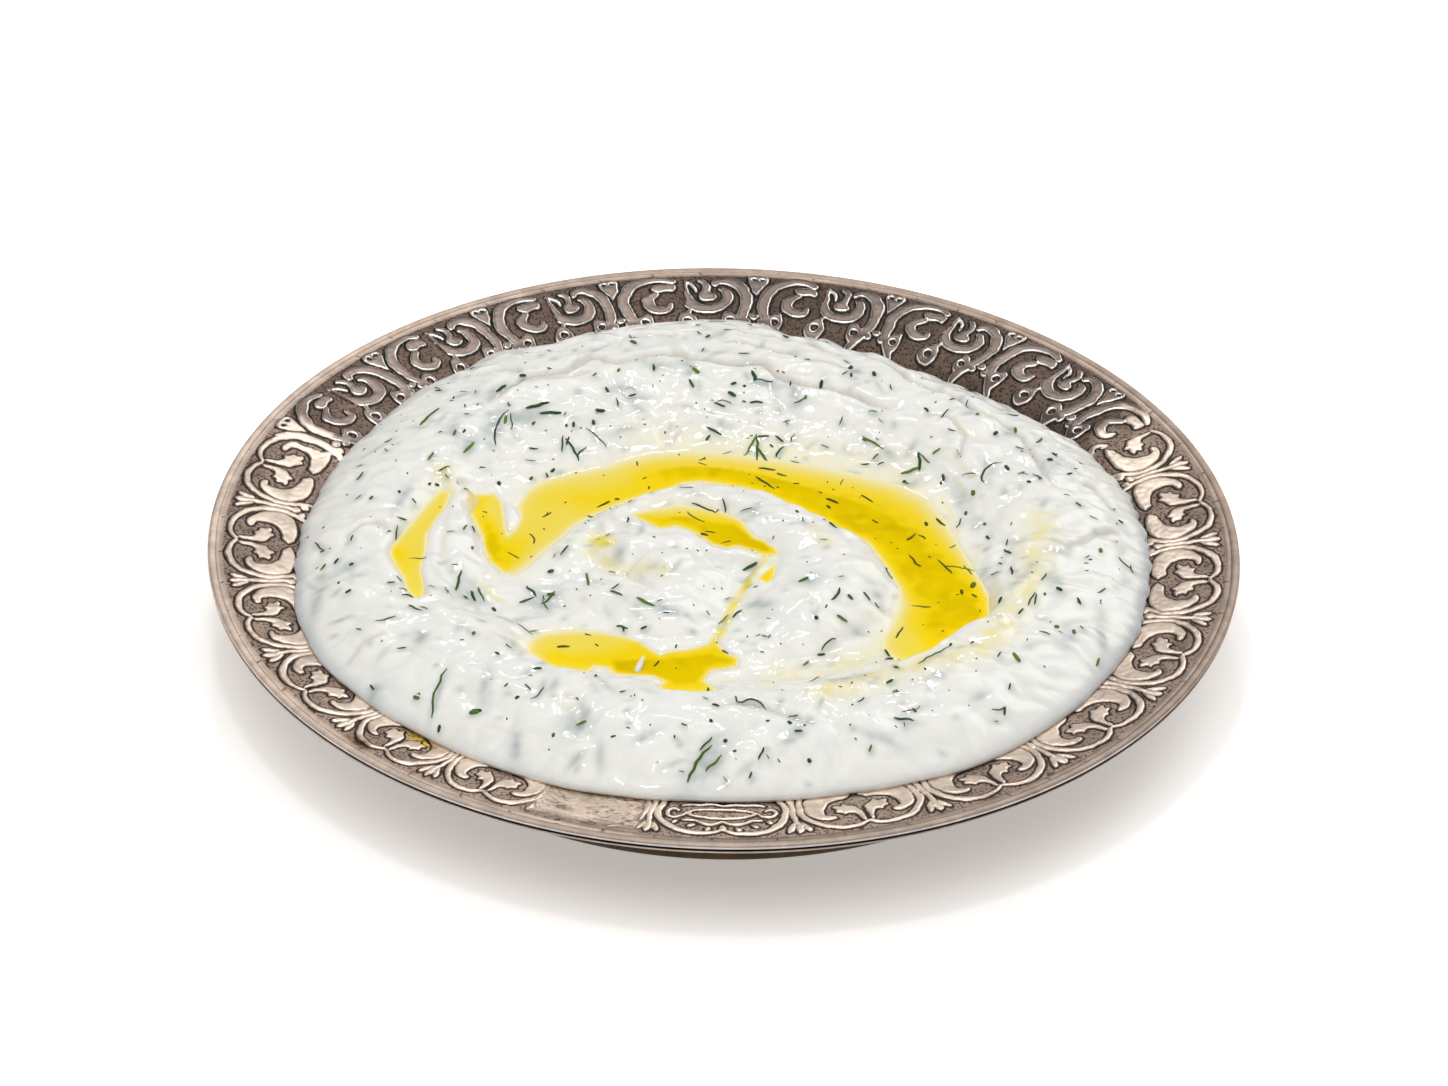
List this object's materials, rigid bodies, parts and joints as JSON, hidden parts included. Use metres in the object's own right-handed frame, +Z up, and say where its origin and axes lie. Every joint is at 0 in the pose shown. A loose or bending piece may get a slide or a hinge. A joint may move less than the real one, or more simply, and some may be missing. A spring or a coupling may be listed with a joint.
{
  "type": "dish of haydari",
  "caption": "Low round metal meze dish with an embossed scroll rim and foot ring, heaped with swirled yoghurt and dill dip with olive oil in its channels.",
  "frame": {"origin": "centre of the foot ring's underside, on the surface the dish stands on", "axes": "+Z up; +X to the right and +Y to the back, as seen from the side that the picture was taken from"},
  "size_m": [0.1998, 0.2, 0.0298],
  "materials": {
    "aged_metal": "aged silver-grey, polished relief over dark stippled ground",
    "yoghurt_dip": "moist white yoghurt with green dill",
    "olive_oil": "clear glossy golden oil"
  },
  "bodies": {
    "root": {"dish": "aged_metal", "haydari": "yoghurt_dip", "oil_main_crescent": "olive_oil", "oil_left_streak": "olive_oil", "oil_inner_crescent": "olive_oil", "oil_channel_drop": "olive_oil", "oil_front_pool": "olive_oil"}
  },
  "joints": []
}
